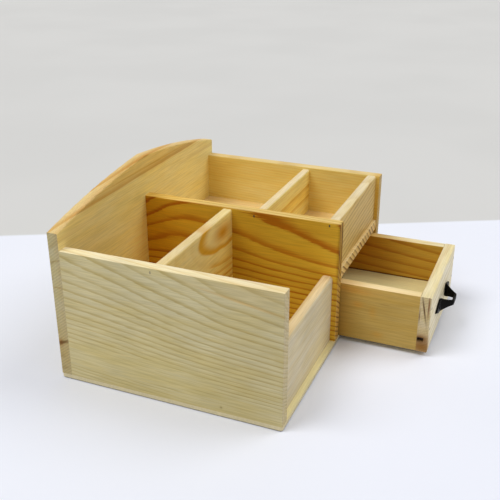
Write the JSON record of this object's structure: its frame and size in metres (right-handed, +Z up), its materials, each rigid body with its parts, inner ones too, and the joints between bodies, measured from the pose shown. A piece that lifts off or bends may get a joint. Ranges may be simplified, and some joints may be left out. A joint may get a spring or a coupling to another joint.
{
  "type": "desk organizer",
  "caption": "Nailed pine desk organizer with open compartments, an arched back, a tray and a sliding drawer with a black bow pull.",
  "frame": {"origin": "middle of the base panel's underside, where the organizer stands on a desk", "axes": "+Z up; -Y is the front, where the drawer comes out; +X is on the right of somebody who faces the drawer"},
  "size_m": [0.2572, 0.2644, 0.1413],
  "materials": {
    "pine": "planed and sanded, unfinished",
    "thin_panel": "sanded thin panel, unfinished",
    "brad_steel": "dull, slightly browned",
    "black_iron": "satin black"
  },
  "bodies": {
    "carcass": {"base_panel": "thin_panel", "back_board": "pine", "left_side_wall": "pine", "centre_partition": "pine", "right_side_wall": "pine", "left_front_wall": "pine", "left_cross_divider": "pine", "tray_floor": "pine", "tray_front_wall": "pine", "tray_cross_divider": "pine", "left_wall_brads": "brad_steel", "partition_tray_brads": "brad_steel", "partition_left_brads": "brad_steel", "right_wall_brads": "brad_steel", "back_board_brads": "brad_steel", "base_brads": "brad_steel"},
    "drawer": {"drawer_front": "pine", "drawer_left_side": "pine", "drawer_right_side": "pine", "drawer_back": "pine", "drawer_bottom": "thin_panel", "drawer_front_brads": "brad_steel", "drawer_left_brads": "brad_steel", "drawer_right_brads": "brad_steel", "drawer_bottom_brads": "brad_steel", "drawer_handle": "black_iron", "handle_pins": "black_iron"}
  },
  "joints": [
    {"name": "drawer_slide", "type": "slide", "parent": "carcass", "child": "drawer", "axis": [0, -1, 0], "range_m": [-0.0729, 0.0471]}
  ]
}
